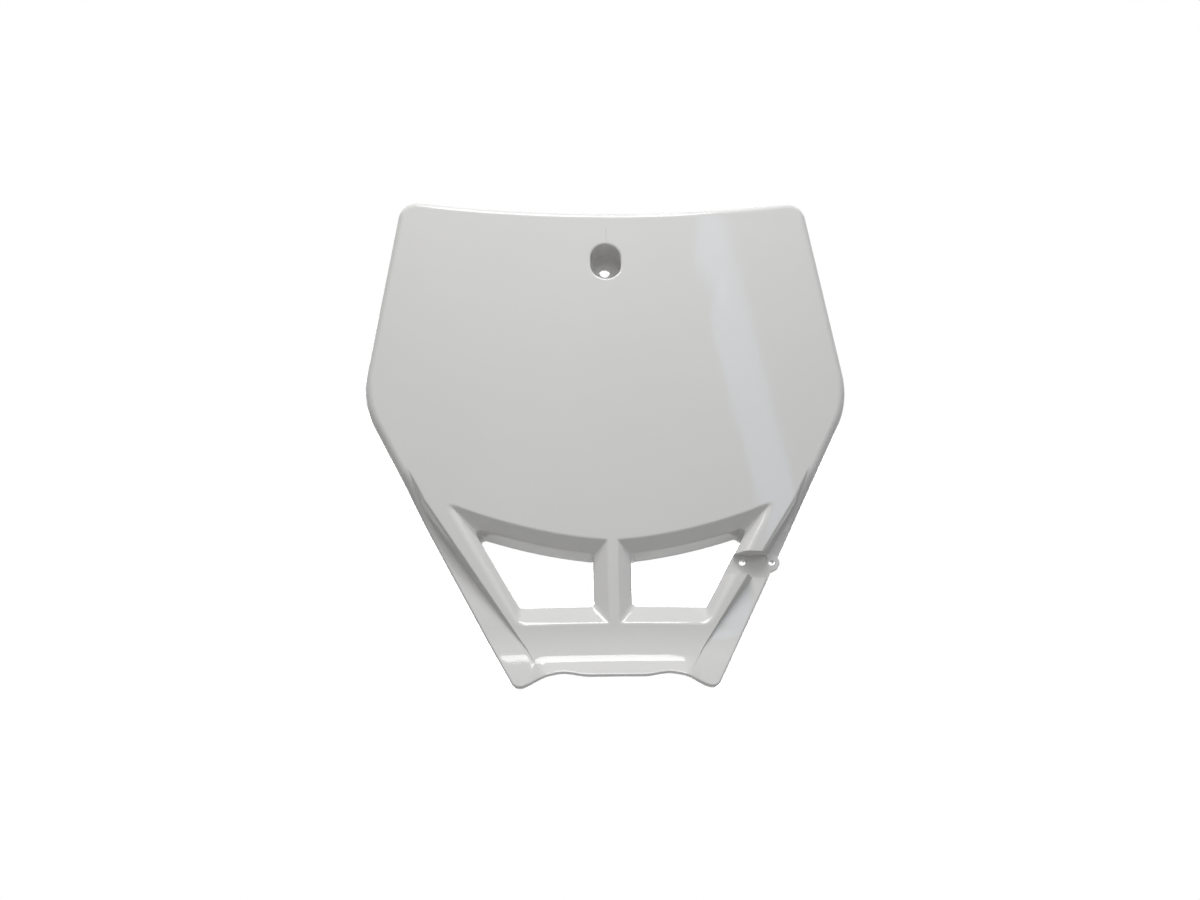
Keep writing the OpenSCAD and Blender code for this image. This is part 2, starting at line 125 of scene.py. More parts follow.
TOP_CORNER = np.array([TOP_W / 2, TOP_RISE])
WAIST_CORNER = np.array([WAIST_W / 2, -WAIST_DROP])
FOOT_CORNER = np.array([FOOT_W / 2, -FOOT_DROP])
WAIST_UP, WAIST_DOWN = unit(TOP_CORNER - WAIST_CORNER), unit(FOOT_CORNER - WAIST_CORNER)
HALF = math.acos(WAIST_UP @ WAIST_DOWN) / 2
WAIST_CENTRE = WAIST_CORNER + unit(WAIST_UP + WAIST_DOWN) * WAIST_R / math.sin(HALF)
REACH = WAIST_R / math.tan(HALF)
ARC_TOP, ARC_BOTTOM = (WAIST_CORNER + WAIST_UP * REACH)[1], (WAIST_CORNER + WAIST_DOWN * REACH)[1]


def side_x(z):
    upper = mix(WAIST_CORNER[0], TOP_CORNER[0], (z + WAIST_DROP) / (TOP_RISE + WAIST_DROP))
    lower = mix(FOOT_CORNER[0], WAIST_CORNER[0], (z + FOOT_DROP) / (FOOT_DROP - WAIST_DROP))
    arc = WAIST_CENTRE[0] + np.sqrt(np.maximum(0, WAIST_R ** 2 - (z - WAIST_CENTRE[1]) ** 2))
    return np.where(z > ARC_TOP, upper, np.where(z < ARC_BOTTOM, lower, arc))


def top_z(x):
    return TOP_RISE - TOP_DIP * (1 - (x / TOP_CORNER[0]) ** 2)


def bottom_z(x):
    mid = FOOT_RISE - FOOT_DROP
    arch = mid + ARCH_RISE
    past = np.maximum(0, x - ARCH_X) / (FOOT_CORNER[0] - ARCH_X)
    out = arch - (FOOT_RISE + ARCH_RISE) * past ** ARCH_POWER
    rise = mix(mid, arch, smooth(2 * x / ARCH_X - 1))
    return np.where(x < ARCH_X / 2, mid, np.where(x < ARCH_X, rise, out))


def stretch(f, at):
    return np.sqrt(1 + (f(at + 0.5) - f(at - 0.5)) ** 2)


def corner(before, at, after, r):
    """A rounding's centre, the directions of its two sides and the outward normals of both."""
    before, at, after = (np.asarray(p, float) for p in (before, at, after))
    u, v = unit(before - at), unit(after - at)
    centre = at + unit(u + v) * r / math.sin(math.acos(u @ v) / 2)
    return centre, u, v, unit(u * (u @ v) - v), unit(v * (u @ v) - u)


TOP_ROUND = corner(WAIST_CORNER, TOP_CORNER,
                   (TOP_CORNER[0] - TOP_R, top_z(TOP_CORNER[0] - TOP_R)), TOP_R)
FOOT_ROUND = corner((FOOT_CORNER[0] - FOOT_R, bottom_z(FOOT_CORNER[0] - FOOT_R)),
                    FOOT_CORNER, WAIST_CORNER, FOOT_R)


def soften(x, z, c):
    """Pulls the points of a sharp corner onto its rounding."""
    d = np.stack([x - c[0][0], z - c[0][1]], -1)
    inside = (d @ c[1] < 0) & (d @ c[2] < 0)
    length = np.maximum(np.linalg.norm(d, axis=-1), 1e-9)
    k = np.maximum(d @ c[3], d @ c[4]) / length
    return (np.where(inside, c[0][0] + d[..., 0] * k, x),
            np.where(inside, c[0][1] + d[..., 1] * k, z))


def growth(z):
    return smooth((-FLANGE_START - z) / (STEP_DROP - STEP_EASE - FLANGE_START))


def step_at(z):
    run = (z + STEP_END) / (STEP_END - STEP_DROP)
    return STEP_DEPTH * growth(z) * smooth(run * STEP_SHARE + STEP_START)


def edge_round(z):
    return mix(RIM_R, EDGE_R, growth(z))


def edge_depth(z):
    return mix(RIM_DEPTH, WALL + EDGE_TURN, growth(z))


def step_w(z):
    return LEAST_STEP_W + STEP_LEAN * STEP_DEPTH * smooth((z + STEP_END) / (STEP_END - STEP_DROP))


def spread(z):
    return smooth((z + FLANGE_START + SPREAD_LEAD) / SPREAD_RUN)


def ridge_inset(z):
    low = mix(FLANGE_W, FLANGE_END_W,
              np.minimum(1, (-STEP_DROP - z) / (STEP_END - RIDGE_RUN_OUT - STEP_DROP)))
    return mix(np.maximum(RIM_R + RIDGE_GAP, low), RIM_R + REST_RIDGE, spread(z))


def base_inset(z):
    return ridge_inset(z) - mix(mix(RIDGE_START_W, step_w(z), growth(z)), REST_W, spread(z))


def foot_flare(z):
    return CHIN_BEND * tan(CHIN_TILT) * ease_in((CHIN_START - z) / CHIN_BEND)


def chin_flare(z):
    lip, more = LIP_H - FOOT_DROP, tan(LIP_TILT) - tan(CHIN_TILT)
    return foot_flare(z) + LIP_BEND * more * ease_in((lip - z) / LIP_BEND)


def flare(x, z):
    """How far the chin stands forward; its second bend fades out towards the feet."""
    side = smooth((x - FOOT_CORNER[0] + CREASE_INSET) / CREASE_W)
    return mix(chin_flare(z), foot_flare(z), side)


def surface_y(x, z, g):
    steep = np.sqrt(1 + (flare(x, z - 0.5) - flare(x, z + 0.5)) ** 2)
    return FACE_R - np.sqrt((FACE_R - g) ** 2 - x ** 2) - flare(x, z) + g * (steep - 1)


def window_top_z(x):
    t = (x - BAR_W / 2) / (TIP_X - BAR_W / 2)
    return np.where(t < 1, mix(-WINDOW_TOP, -TIP_DROP, t) - 4 * SAG * t * (1 - t),
                    -TIP_DROP + (x - TIP_X) * PAST_TIP_RISE)


def window_side_x(z):
    low = mix(SILL_X, TIP_X, (z + WINDOW_BOTTOM) / (WINDOW_BOTTOM - TIP_DROP))
    return np.where(z > -TIP_DROP, TIP_X + (z + TIP_DROP) * PAST_TIP_LEAN, low)


def rim_inset(z, angle, g):
    r = np.maximum(LEAST_R, edge_round(z) - g)
    return g + r * (1 - np.cos(angle))


def pick(lines, at, last):
    """The line at a place between the numbered ones."""
    lines = np.stack(np.broadcast_arrays(*lines))
    k = np.minimum(last, np.floor(at)).astype(int)
    k = np.broadcast_to(k, lines.shape[1:])
    low = np.take_along_axis(lines, k[None], 0)[0]
    high = np.take_along_axis(lines, k[None] + 1, 0)[0]
    return mix(low, high, at - k)


def window_inset(width, w, g):
    """How far a window's contour has moved in: w is 1 at the bevels' foot, 2 at the lips' end."""
    return width * min(1, w) + LIP_LEAN * max(0, w - 1) - g * mix(BEVEL_THICK, 1, min(1, w))


def column_x(c, z, angle, w, g, e):
    thick = STEP_SLANT * g * growth(z)
    lines = [0 * z,
             BAR_W / 2 + window_inset(BEVEL_BAR, w, g) - e + 0 * z,
             window_side_x(z) - (window_inset(BEVEL_SIDE, w, g) - e * SIDE_SOFT) * SIDE_SLANT,
             side_x(z) - ridge_inset(z) - thick,
             side_x(z) - base_inset(z) - thick,
             side_x(z) - rim_inset(z, angle, g) * stretch(side_x, z)]
    return pick(lines, c, 4)


def row_z(r, x, angle, w, g, e):
    low, high = bottom_z(x), top_z(x)
    lines = [low + rim_inset(low, angle, g) * stretch(bottom_z, x),
             -WINDOW_BOTTOM + window_inset(BEVEL_BOTTOM, w, g) - e + 0 * x,
             window_top_z(x) - window_inset(BEVEL_TOP, w, g) + e,
             high - rim_inset(high, angle, g) * stretch(top_z, x)]
    return pick(lines, r, 2)


def crossing(c, r, angle, w, g, e):
    """Where column c and row r of the grid meet, found in a few rounds."""
    c, r = np.broadcast_arrays(np.asarray(c, float), np.asarray(r, float))
    x, z = TIP_X * c / 5, mix(-FOOT_DROP, TOP_RISE, r / 3)
    for _ in range(ROUNDS):
        x = column_x(c, z, angle, w, g, e)
        z = row_z(r, x, angle, w, g, e)
    return x, z


def place(c, r, angle, g, e):
    x, z = crossing(c, r, angle, 0, g, e)
    return soften(*soften(x, z, TOP_ROUND), FOOT_ROUND)


# Rounded edges: how far each rounding reaches from its corner, and the windows' corner radii

FACE_EDGE, SIDE_SOFT, LIP_EDGE = 0.9, 2.4, 0.7
HOLE_R, SILL_R, TIGHT_R = 2.5, 7.0, 1.0
ROUNDS = 14


def window_corners(w, g, e):
    at = [np.array([float(v) for v in crossing(c, r, math.pi / 2, w, g, e)])
          for c, r in ((1, 1), (2, 1), (2, 2), (1, 2))]
    out = []
    for k in range(4):
        r = (HOLE_R if w > 0 else SILL_R if k == 1 else TIGHT_R) + g * min(1, w) + e
        out.append(corner(at[k - 1], at[k], at[(k + 1) % 4], r))
    return out


def eased(n, ends):
    """n steps from 0 to 1, closer together at both ends."""
    t = np.linspace(0, 1, n + 1)
    return t - ends * np.sin(2 * math.pi * t) / (2 * math.pi)


# The grid runs from the middle to the side and from the bottom to the top. The windows lie between
# 1 and 2 both ways, the flange's ridge at column 3, its step's foot at 4 and the rim at 5.

columns = np.concatenate([np.linspace(0, 1, 4)[:-1], 1 + eased(46, 0.75)[:-1],
                          2 + np.linspace(0, 1, 10)[:-1], 3 + np.linspace(0, 1, 15)[:-1],
                          4 + np.linspace(0, 1, 9)])
rows = np.concatenate([np.linspace(0, 1, 43)[:-1], 1 + eased(32, 0.7)[:-1], 2 + eased(92, 0.6)])
LC, LR = len(columns) - 1, len(rows) - 1
W0, W1 = int(np.where(columns == 1)[0][0]), int(np.where(columns == 2)[0][0])
V0, V1 = int(np.where(rows == 1)[0][0]), int(np.where(rows == 2)[0][0])
ANGLES = np.radians(np.linspace(0, 90, 11)[:-1])


def loop(i0, i1, j0, j1):
    """The grid's points round a rectangle of it, anticlockwise."""
    return ([(i, j0) for i in range(i0, i1)] + [(i1, j) for j in range(j0, j1)]
            + [(i, j1) for i in range(i1, i0, -1)] + [(i0, j) for j in range(j1, j0, -1)])


rim_loop = loop(-LC, LC, 0, LR)
window_loops = [loop(W0, W1, V0, V1), loop(-W1, -W0, V0, V1)]


def ids_xyz(cells):
    i = np.array([q[0] for q in cells])
    j = np.array([q[1] for q in cells])
    return np.where(i < 0, -1.0, 1.0), columns[np.abs(i)], rows[j]


def web(cells, g):
    """Points of the face, at depth g in the wall."""
    sign, c, r = ids_xyz(cells)
    x, z = place(c, r, math.pi / 2, g, FACE_EDGE)
    on = (c >= 1) & (c <= 2) & (r >= 1) & (r <= 2)
    sx, sz = crossing(c, r, math.pi / 2, 0, g, FACE_EDGE)
    for k in window_corners(0, g, FACE_EDGE):
        sx, sz = soften(sx, sz, k)
    x, z = np.where(on, sx, x), np.where(on, sz, z)
    y = surface_y(x, z, g) + step_at(z) * smooth(c - 3)
    return np.stack([x * sign, y, z], -1)


def rim_ring(angle, g, back=None):
    """One ring of the turned-back rim: round its bend, then straight back by the share given."""
    sign, c, r = ids_xyz(rim_loop)
    x, z = place(c, r, angle, g, FACE_EDGE)
    radius = np.maximum(LEAST_R, edge_round(z) - g)
    turned = g + radius * (1 - math.sin(angle))
    if back is not None:
        turned = mix(turned, edge_depth(z) - END_EASE, back)
    y = surface_y(x, z, 0) + step_at(z) * smooth(c - 3) + turned
    return np.stack([x * sign, y, z], -1)


def bend(a, corner_at, b, steps):
    """Points of a rounding from a to b whose tangents meet at the corner."""
    return [(1 - t) ** 2 * a + 2 * t * (1 - t) * corner_at + t * t * b
            for t in np.linspace(0, 1, steps + 1)]


def towards(a, b, reach):
    d = b - a
    return a + d * (reach / np.maximum(np.linalg.norm(d, axis=-1, keepdims=True), 1e-9))


def funnel_rings(cells, g):
    """Rings of one window from its rounded edge on the face to the lip's back end."""
    sign, c, r = ids_xyz(cells)

    def at(w, e, depth, flat):
        x, z = crossing(c, r, math.pi / 2, w, g, e)
        for k in window_corners(w, g, e):
            x, z = soften(x, z, k)
        y = surface_y(x, z, 0 if flat else g) + depth
        return np.stack([x * sign, y, z], -1)

    start, edge = at(0, FACE_EDGE, 0, False), at(0, 0, 0, False)
    foot, end = at(1, 0, BEVEL_DEPTH - 0.5 * g, False), at(2, 0, LIP_DEPTH, True)
    reach = np.linalg.norm(edge - start, axis=-1, keepdims=True)
    rings = bend(start, edge, towards(edge, foot, reach), 6)
    into, out = towards(foot, edge, LIP_EDGE), towards(foot, end, LIP_EDGE)
    rings += [mix(rings[-1], into, t) for t in (0.33, 0.67)]
    rings += bend(into, foot, out, 4)
    rings += [mix(out, end, t) for t in (0.35, 0.7)] + [towards(end, out, END_EASE)]
    return rings[1:]


# The cup is a funnel too, let into a rectangle of the grid. Its roundings at the mouth and at
# the floor are given for the front and for the back skin.

CUP_COLUMN, CUP_LOW, CUP_HIGH = 1.17, -20, 18
CUP_EDGES, CUP_TURNS = (1.3, 1.0), (1.6, 1.2)
CUP_COLS = int(np.searchsorted(columns, CUP_COLUMN))
heights = [row_z(rows[k:k + 1], np.zeros(1), math.pi / 2, 0, 0, 0)[0] for k in range(LR + 1)]
beside_cup = [k for k, z in enumerate(heights) if CUP_LOW < z < CUP_HIGH]
CUP_J0, CUP_J1 = beside_cup[0], beside_cup[-1]
cup_loop = loop(-CUP_COLS, CUP_COLS, CUP_J0, CUP_J1)


def obround(direction, grown):
    """Points of the cup's outline, grown outwards, in the given directions from its centre."""
    r, h = CUP_W / 2 + grown, (CUP_H - CUP_W) / 2
    ux, uz = np.cos(direction), np.sin(direction)
    flat = r / np.maximum(np.abs(ux), 1e-9)
    s = np.sign(uz) * h
    b = uz * s
    cap = b + np.sqrt(np.maximum(0, b * b - h * h + r * r))
    d = np.where(flat * np.abs(uz) <= h, flat, cap)
    return np.stack([d * ux, d * uz], -1)


def cup_rings(g):
    """Rings of the cup from its mouth down to its floor's hole, for the front or the back skin."""
    start = web(cup_loop, g)
    way = np.arctan2(start[:, 2], start[:, 0])
    grown = 0.0 if g == 0 else CUP_WALL
    reach, turn = CUP_EDGES[g > 0], CUP_TURNS[g > 0]
    floor_y = CUP_DEPTH if g == 0 else CUP_DEPTH + WALL

    def ring(out, y=None):
        p = obround(way, out)
        depth = surface_y(p[:, 0], p[:, 1], g) if y is None else 0 * p[:, 0] + y
        return np.stack([p[:, 0], depth, p[:, 1]], -1)

    rings = []
    mouth = ring(grown + reach)
    for t in (0.3, 0.55, 0.75, 0.9):
        p = mix(start, mouth, t)
        p[:, 1] = surface_y(p[:, 0], p[:, 2], g)
        rings.append(p)
    top, low = ring(grown), ring(grown, floor_y)
    rings += bend(mouth, top, towards(top, low, reach), 5)
    before, after = towards(low, top, turn), ring(grown - turn, floor_y)
    rings += [mix(rings[-1], before, 0.5)]
    rings += bend(before, low, after, 5)
    hole = np.stack([np.cos(way), np.sin(way)], -1)

    def circle(radius, y):
        return np.stack([hole[:, 0] * radius, 0 * way + y, hole[:, 1] * radius], -1)

    # the hole's edge is eased, into the floor from the front and out of it from the back
    back = 1 if g == 0 else -1
    r = SCREW_D / 2
    rings += [mix(after, circle(r + 0.3, floor_y), 0.5), circle(r + 0.25, floor_y),
              circle(r + 0.08, floor_y + 0.08 * back), circle(r, floor_y + 0.3 * back)]
    return rings


class Net:
    """Collects points and faces; every ring is a loop of the same length as the one before."""

    def __init__(self):
        self.points, self.faces, self.count = [], [], 0

    def add(self, points):
        ids = self.count + np.arange(len(points))
        self.points.append(points)
        self.count += len(points)
        return ids

    def strip(self, outside, inside, flip):
        a, b = outside, np.roll(outside, -1)
        c, d = np.roll(inside, -1), inside
        quads = np.stack([a, b, c, d] if flip else [d, c, b, a], -1)
        self.faces += quads.tolist()


def build_plate():
    """Front and back skin with their rim, funnels and cup, closed at every edge."""
    net = Net()
    ends = {}
    for g, flip in ((0.0, True), (WALL, False)):
        cells = [(i, j) for i in range(-LC, LC + 1) for j in range(LR + 1)]
        ids = net.add(web(cells, g)).reshape(2 * LC + 1, LR + 1)

        def grid(cells):
            return np.array([ids[i + LC, j] for i, j in cells])

        for i in range(-LC, LC):
            m = abs(i + 0.5)
            for j in range(LR):
                if W0 < m < W1 and V0 <= j < V1 or m < CUP_COLS and CUP_J0 <= j < CUP_J1:
                    continue
                q = [ids[i + LC, j], ids[i + 1 + LC, j], ids[i + 1 + LC, j + 1], ids[i + LC, j + 1]]
                net.faces.append([int(k) for k in (q if flip else q[::-1])])

        last = grid(rim_loop)
        for angle in ANGLES[::-1]:
            ring = net.add(rim_ring(angle, g))
            net.strip(ring, last, flip)
            last = ring
        for back in (0.5, 1.0):
            ring = net.add(rim_ring(0.0, g, back))
            net.strip(ring, last, flip)
            last = ring
        ends["rim", g] = last
        for side, cells in enumerate(window_loops):
            last = grid(cells)
            for points in funnel_rings(cells, g):
                ring = net.add(points)
                net.strip(last, ring, flip)
                last = ring
            ends["window", side, g] = last
        last = grid(cup_loop)
        for points in cup_rings(g):
            ring = net.add(points)
            net.strip(last, ring, flip)
            last = ring
        ends["cup", g] = last

    points = np.concatenate(net.points)

    def close(key, lift_back, flip):
        """Rounds the end between the two skins."""
        a, b = ends[key + (0.0,)], ends[key + (WALL,)]
        pa, pb = points[a].copy(), points[b].copy()
        pa[:, 1] += lift_back
        pb[:, 1] += lift_back
        inner_a, inner_b = towards(pa, pb, END_EASE), towards(pb, pa, END_EASE)
        ra = net.add(bend(points[a], pa, inner_a, 2)[1])
        rb = net.add(inner_a)
        rc = net.add(inner_b)
        rd = net.add(bend(points[b], pb, inner_b, 2)[1])
        for ring, following in ((a, ra), (ra, rb), (rb, rc), (rc, rd), (rd, b)):
            net.strip(ring, following, flip)

    close(("rim",), END_EASE, False)
    for side in (0, 1):
        close(("window", side), END_EASE, True)
    net.strip(ends["cup", 0.0], ends["cup", WALL], True)

    mesh = bpy.data.meshes.new("number_plate_skin")
    mesh.from_pydata(np.concatenate(net.points).tolist(), [], net.faces)
    mesh.validate()
    return mesh


plate_mesh = build_plate()


# The hose guide's seat: walls and floor joined on, then the notch, dish and holes cut

DISH_CUT, DISH_EDGE, EAR_TUCK, EAR_EASE = 0.18, 0.3, 0.5, 0.3
CUT_FRONT, CUT_BEHIND = 60, 3


def prism(name, outline, axis, low, high, ease=0.0):
    """A prism whose two ends are eased by a small chamfer, from an anticlockwise outline."""
    n = len(outline)
    outline = np.array(outline, float)
    around = np.roll(outline, -1, 0) - np.roll(outline, 1, 0)
    normal = np.stack([around[:, 1], -around[:, 0]], -1)
    normal /= np.linalg.norm(normal, axis=1, keepdims=True)
    levels = [(low, outline), (high, outline)]
    if ease:
        inner = outline - normal * ease
        levels = [(low, inner), (low + ease, outline), (high - ease, outline), (high, inner)]
    points = []
    for y, line in levels:
        for u, v in line:
            points.append((u, y, v) if axis == "y" else (u, v, y))
    faces = [list(range(n)), list(range(len(points) - n, len(points)))[::-1]]
    for k in range(len(levels) - 1):
        for i in range(n):
            j = (i + 1) % n
            faces.append([k * n + j, k * n + i, (k + 1) * n + i, (k + 1) * n + j])
    mesh = bpy.data.meshes.new(name)
    mesh.from_pydata(points, [], faces)
    bm = bmesh.new()
    bm.from_mesh(mesh)
    bmesh.ops.recalc_face_normals(bm, faces=bm.faces)
    bm.to_mesh(mesh)
    bm.free()
    ob = bpy.data.objects.new(name, mesh)
    bpy.context.scene.collection.objects.link(ob)
    return ob


def arc(cx, cz, r, a0, a1, n):
    return [(cx + r * math.cos(a), cz + r * math.sin(a))
            for a in np.radians(np.linspace(a0, a1, n))]


def one(f, *args):
    return float(f(*[np.array([float(a)]) for a in args])[0])


def mid_skin(c, z, w):
    """The middle of the wall at a column and height, as x and y."""
    x = one(column_x, c, z, math.pi / 2, w, WALL / 2, 0)
    y = one(surface_y, x, z, WALL / 2) + BEVEL_DEPTH * w + one(step_at, z) * one(smooth, c - 3)
    return x, y


def seat_tools():
    """The prisms that are joined on for the seat, and those that are cut out of it."""
    low, high = SEAT_BOTTOM, SEAT_TOP
    adds, cuts = [], []
    for side, z in ((-1, low), (1, high)):
        outer, inner = z + side * SEAT_WALL, z - side * SEAT_WALL / 2
        mid = (z + outer) / 2
        line = [mid_skin(2, mid, 1), mid_skin(2, mid, 0)]
        line += [mid_skin(c, mid, 0) for c in (3, 3.15, 3.35, 3.65, 3.85, 4, 5)]
        back = SEAT_DEPTH + WALL
        line += [(line[-1][0], back), (line[0][0], back)]
        adds.append(prism("seat_wall", line[::-1], "z", min(outer, inner), max(outer, inner)))
    margin = SEAT_WALL / 3
    lo, hi = low - margin, high + margin
    inside = [one(column_x, 2, z, math.pi / 2, 1.5, WALL / 3, 0) for z in (lo, hi)]
    floor = [(inside[0], lo), (one(side_x, lo) - EDGE_R, lo),
             (one(side_x, hi) - EAR_R, hi), (inside[1], hi)]
    adds.append(prism("seat_floor", floor, "y", SEAT_DEPTH, SEAT_DEPTH + WALL))
    cx, near = GUIDE_X + GUIDE_PITCH, GUIDE_X + GUIDE_PITCH / 2 + 1

    def tangent(z):
        """Angle to the point at height z, and from there to where its tangent touches the ear."""
        dx, dz = near - cx, z + GUIDE_DROP
        return math.degrees(math.atan2(dz, dx)), math.degrees(math.acos(EAR_R / math.hypot(dx, dz)))

    up, down = tangent(high - EAR_TUCK), tangent(low + EAR_TUCK)
    ear = arc(cx, -GUIDE_DROP, EAR_R, down[0] + down[1], up[0] - up[1], 25)
    ear += [(near, high - EAR_TUCK), (near, low + EAR_TUCK)]
    adds.append(prism("seat_ear", ear, "y", SEAT_DEPTH, SEAT_DEPTH + WALL, EAR_EASE))
    left, right = GUIDE_X - GUIDE_PITCH, GUIDE_X - GUIDE_PITCH + WAIST_W / 4
    notch = [(left, low), (right, low), (right, high), (left, high)]
    cuts.append(prism("notch", notch, "y", -CUT_FRONT, SEAT_DEPTH))
    dish_z = high - DISH_CUT * DISH_D
    a = math.degrees(math.asin((high - DISH_EDGE - dish_z) / (DISH_D / 2)))
    dish = arc(GUIDE_X + GUIDE_PITCH / 2, dish_z, DISH_D / 2, 180 - a, 360 + a, 48)
    cuts.append(prism("dish", dish, "y", SEAT_DEPTH - 1, SEAT_DEPTH + DISH_DEPTH))
    for k in (0, 1):
        hole = arc(GUIDE_X + k * GUIDE_PITCH, -GUIDE_DROP, GUIDE_D / 2, 0, 352.5, 48)
        cuts.append(prism("guide_hole", hole, "y", SEAT_DEPTH - 1, SEAT_DEPTH + WALL + CUT_BEHIND))
    return adds, cuts


def boolean(ob, tool, operation):
    m = ob.modifiers.new("b", "BOOLEAN")
    m.operation, m.solver, m.object = operation, "MANIFOLD", tool
    graph = bpy.context.evaluated_depsgraph_get()
    mesh = bpy.data.meshes.new_from_object(ob.evaluated_get(graph))
    ob.modifiers.clear()
    ob.data = mesh
    bpy.data.objects.remove(tool)


SHARP_ANGLE = 34
plate = bpy.data.objects.new("plate_moulding", plate_mesh)
bpy.context.scene.collection.objects.link(plate)
joined, cut_away = seat_tools()
for tool in joined:
    boolean(plate, tool, "UNION")
for tool in cut_away:
    boolean(plate, tool, "DIFFERENCE")
plate.data.transform(Matrix.Scale(MM, 4) @ Matrix.Translation((0, -CUP_DEPTH, 0)))
plate.data.shade_smooth()
plate.data.set_sharp_from_angle(angle=math.radians(SHARP_ANGLE))


# Nodes: an input takes either another node's output or a constant

def feed(links, socket, value):
    if isinstance(value, bpy.types.NodeSocket):
        links.new(value, socket)
    else:
        socket.default_value = value


def math_node(nodes, links, operation, a, b, clamp=False):
    n = nodes.new("ShaderNodeMath")
    n.operation, n.use_clamp = operation, clamp
    feed(links, n.inputs[0], a)
    feed(links, n.inputs[1], b)
    return n.outputs[0]


def mix_colours(nodes, links, factor, a, b):
    n = nodes.new("ShaderNodeMix")
    n.data_type = "RGBA"
    for key, value in (("Factor", factor), ("A", a), ("B", b)):
        feed(links, n.inputs[key], value)
    return n.outputs["Result"]


def bump(nodes, links, height, distance, strength, normal=None):
    n = nodes.new("ShaderNodeBump")
    n.inputs["Distance"].default_value = distance
    n.inputs["Strength"].default_value = strength
    links.new(height, n.inputs["Height"])
    if normal:
        links.new(normal, n.inputs["Normal"])
    return n.outputs["Normal"]


def seen_rays(nodes, links):
    """1 for camera, glossy and transmission rays, which show the pale background."""
    path = nodes.new("ShaderNodeLightPath")
    total = path.outputs["Is Camera Ray"]
    for kind in ("Is Transmission Ray", "Is Glossy Ray"):
        total = math_node(nodes, links, "ADD", total, path.outputs[kind], True)
    return total


# The plastic: glossy in front and satin behind, with a faint weld line above the cup

WHITE, CLOUD_TONE, WELD_TONE, IOR = (0.69, 0.685, 0.675), 0.985, 0.86, 1.46
WELD_X, WELD_W, WELD_FADE_W = 0.0005, 0.00012, 0.00035
WELD_Z, WELD_H, WELD_FADE_H = 0.0155, 0.0035, 0.0055
CLOUD_SCALE, SMUDGE_SCALE, HAIR_SCALE, WAVE_SCALE = 14, 22, 900, 18
SMUDGE_ROUGH, HAIR_ROUGH = 0.04, 0.05
WAVE_DEPTH, WAVE_STRENGTH, GRAIN_STRENGTH = 0.0006, 0.15, 0.35


def plastic(name, rough, grain_scale, grain_depth):
    m = bpy.data.materials.new(name)
    m.use_nodes = True
    nodes, links = m.node_tree.nodes, m.node_tree.links
    bsdf = nodes["Principled BSDF"]
    where = nodes.new("ShaderNodeTexCoord").outputs["Object"]

    def noise(scale, detail, stretch_by=None):
        n = nodes.new("ShaderNodeTexNoise")
        n.inputs["Scale"].default_value = scale
        n.inputs["Detail"].default_value = detail
        source = where
        if stretch_by:
            mapping = nodes.new("ShaderNodeMapping")
            mapping.inputs["Scale"].default_value = stretch_by
            links.new(source, mapping.inputs["Vector"])
            source = mapping.outputs["Vector"]
        links.new(source, n.inputs["Vector"])
        return n.outputs["Fac"]

    def ramp(value, low, high, to_low, to_high):
        r = nodes.new("ShaderNodeMapRange")
        r.inputs["From Min"].default_value, r.inputs["From Max"].default_value = low, high
        r.inputs["To Min"].default_value, r.inputs["To Max"].default_value = to_low, to_high
        links.new(value, r.inputs["Value"])
        return r.outputs["Result"]

    def tone(share):
        return (*[c * share for c in WHITE], 1)

    def near(value, at, full, none):
        """1 within a distance of a place, falling to 0."""
        off = math_node(nodes, links, "SUBTRACT", value, at)
        return ramp(math_node(nodes, links, "ABSOLUTE", off, 0.0), full, none, 1, 0)

    clouds = ramp(noise(CLOUD_SCALE, 4), 0.35, 0.65, 0, 1)
    tint = mix_colours(nodes, links, clouds, tone(CLOUD_TONE), tone(1))
    split = nodes.new("ShaderNodeSeparateXYZ")
    links.new(where, split.inputs[0])
    across = near(split.outputs["X"], WELD_X, WELD_W, WELD_FADE_W)
    along = near(split.outputs["Z"], WELD_Z, WELD_H, WELD_FADE_H)
    weld = math_node(nodes, links, "MULTIPLY", across, along)
    links.new(mix_colours(nodes, links, weld, tint, tone(WELD_TONE)), bsdf.inputs["Base Color"])
    smudge = ramp(noise(SMUDGE_SCALE, 5), 0.4, 0.75, rough, rough + SMUDGE_ROUGH)
    hairline = ramp(noise(HAIR_SCALE, 2, (1.0, 1.0, 0.02)), 0.62, 0.8, 0, HAIR_ROUGH)
    links.new(math_node(nodes, links, "ADD", smudge, hairline), bsdf.inputs["Roughness"])
    waves = bump(nodes, links, noise(WAVE_SCALE, 1), WAVE_DEPTH, WAVE_STRENGTH)
    grain = bump(nodes, links, noise(grain_scale, 2), grain_depth, GRAIN_STRENGTH, waves)
    links.new(grain, bsdf.inputs["Normal"])
    bsdf.inputs["IOR"].default_value = IOR
    return m


BEHIND = 0.25  # satin where a normal points back by more than this
plate.data.materials.clear()
plate.data.materials.append(plastic("white_gloss_plastic", 0.05, 700, 0.00002))
plate.data.materials.append(plastic("white_satin_plastic", 0.34, 2600, 0.00008))
facing = np.empty(3 * len(plate.data.polygons))
plate.data.polygons.foreach_get("normal", facing)
plate.data.polygons.foreach_set("material_index", (facing[1::3] > BEHIND).astype(np.int32))

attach(plate, "root")
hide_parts("number_plate")


# Floor, world and lights. Floor and world look pale where they are seen, through a hole or in a
# reflection too, and light the plate by lower values of their own.

FLOOR_Z, FLOOR_HALF, FLOOR_ROUGH, FLOOR_GLOW = -0.75, 6, 0.8, 0.35
FLOOR_SEEN, FLOOR_LIT = (0.88, 0.88, 0.88, 1), (0.5, 0.5, 0.5, 1)


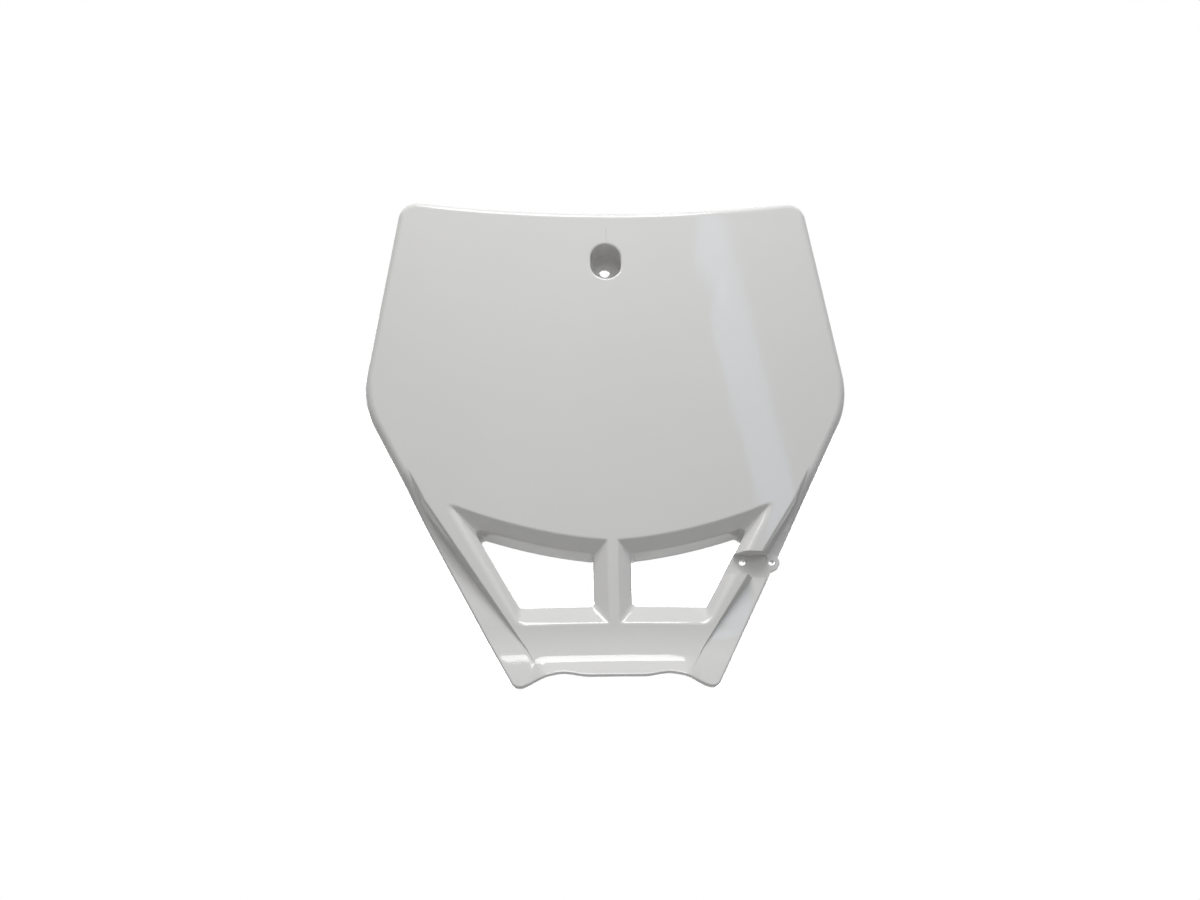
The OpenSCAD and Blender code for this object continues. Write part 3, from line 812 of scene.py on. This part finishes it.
def make_floor():
    bm = bmesh.new()
    bmesh.ops.create_grid(bm, x_segments=8, y_segments=8, size=FLOOR_HALF)
    mesh = bpy.data.meshes.new("floor")
    bm.to_mesh(mesh)
    bm.free()
    ob = bpy.data.objects.new("floor", mesh)
    bpy.context.scene.collection.objects.link(ob)
    ob.location = (0, 0, FLOOR_Z)
    m = bpy.data.materials.new("floor")
    m.use_nodes = True
    nodes, links = m.node_tree.nodes, m.node_tree.links
    bsdf = nodes["Principled BSDF"]
    bsdf.inputs["Roughness"].default_value = FLOOR_ROUGH
    bsdf.inputs["Emission Color"].default_value = (1, 1, 1, 1)
    seen = seen_rays(nodes, links)
    links.new(mix_colours(nodes, links, seen, FLOOR_LIT, FLOOR_SEEN), bsdf.inputs["Base Color"])
    glow = math_node(nodes, links, "MULTIPLY", seen, FLOOR_GLOW)
    links.new(glow, bsdf.inputs["Emission Strength"])
    mesh.materials.append(m)


make_floor()

WORLD_LEVEL, WORLD_UP, WORLD_FRONT, WORLD_LEFT, WORLD_LEAST = 0.07, 0.18, 0.60, 0.02, 0.02


def make_world():
    """Soft light whose strength changes with the direction that it comes from."""
    world = bpy.data.worlds.new("studio")
    bpy.context.scene.world = world
    world.use_nodes = True
    nodes, links = world.node_tree.nodes, world.node_tree.links
    nodes.clear()
    way = nodes.new("ShaderNodeTexCoord")
    lean = nodes.new("ShaderNodeVectorMath")
    lean.operation = "DOT_PRODUCT"
    lean.inputs[1].default_value = (-WORLD_LEFT, -WORLD_FRONT, WORLD_UP)
    links.new(way.outputs["Generated"], lean.inputs[0])
    strength = math_node(nodes, links, "ADD", lean.outputs["Value"], WORLD_LEVEL)
    soft, white = nodes.new("ShaderNodeBackground"), nodes.new("ShaderNodeBackground")
    for ground in (soft, white):
        ground.inputs["Color"].default_value = (1, 1, 1, 1)
    links.new(math_node(nodes, links, "MAXIMUM", strength, WORLD_LEAST), soft.inputs["Strength"])
    either, out = nodes.new("ShaderNodeMixShader"), nodes.new("ShaderNodeOutputWorld")
    links.new(seen_rays(nodes, links), either.inputs[0])
    links.new(soft.outputs[0], either.inputs[1])
    links.new(white.outputs[0], either.inputs[2])
    links.new(either.outputs[0], out.inputs["Surface"])


make_world()


def area_light(name, at, aim, size, power, colour=(1, 1, 1), turn=0.0):
    data = bpy.data.lights.new(name, "AREA")
    data.shape = "RECTANGLE"
    data.size, data.size_y = size
    data.energy = power
    data.color = colour
    ob = bpy.data.objects.new(name, data)
    bpy.context.scene.collection.objects.link(ob)
    ob.location = at
    facing = (Vector(aim) - Vector(at)).to_track_quat("-Z", "Y")
    ob.rotation_euler = (facing @ Quaternion((0, 0, 1), math.radians(turn))).to_euler()


# The key and a small lamp overhead light the front, and one lamp the back. Two cool ones, turned
# round their own axes, stand for the window of the room that the face reflects.

CENTRE, COOL = (0.0, 0.0, -0.1), (0.62, 0.79, 1.0)
area_light("key", (-0.05, -0.5, 0.72), CENTRE, (0.6, 0.45), 7.2)
area_light("back", (0.0, 1.7, 0.3), CENTRE, (1.0, 1.0), 17)
area_light("overhead", (0.15, -0.08, 1.1), CENTRE, (0.05, 0.12), 0.2)
area_light("window", (0.61, -0.95, 0.31), (0.07, 0, -0.1), (0.12, 0.5), 0.28, COOL, 33)
area_light("window_top", (0.43, -0.95, 0.55), (0.07, 0, 0.0), (0.11, 0.09), 0.05, COOL, -25)

bpy.context.scene.view_settings.view_transform = "Standard"
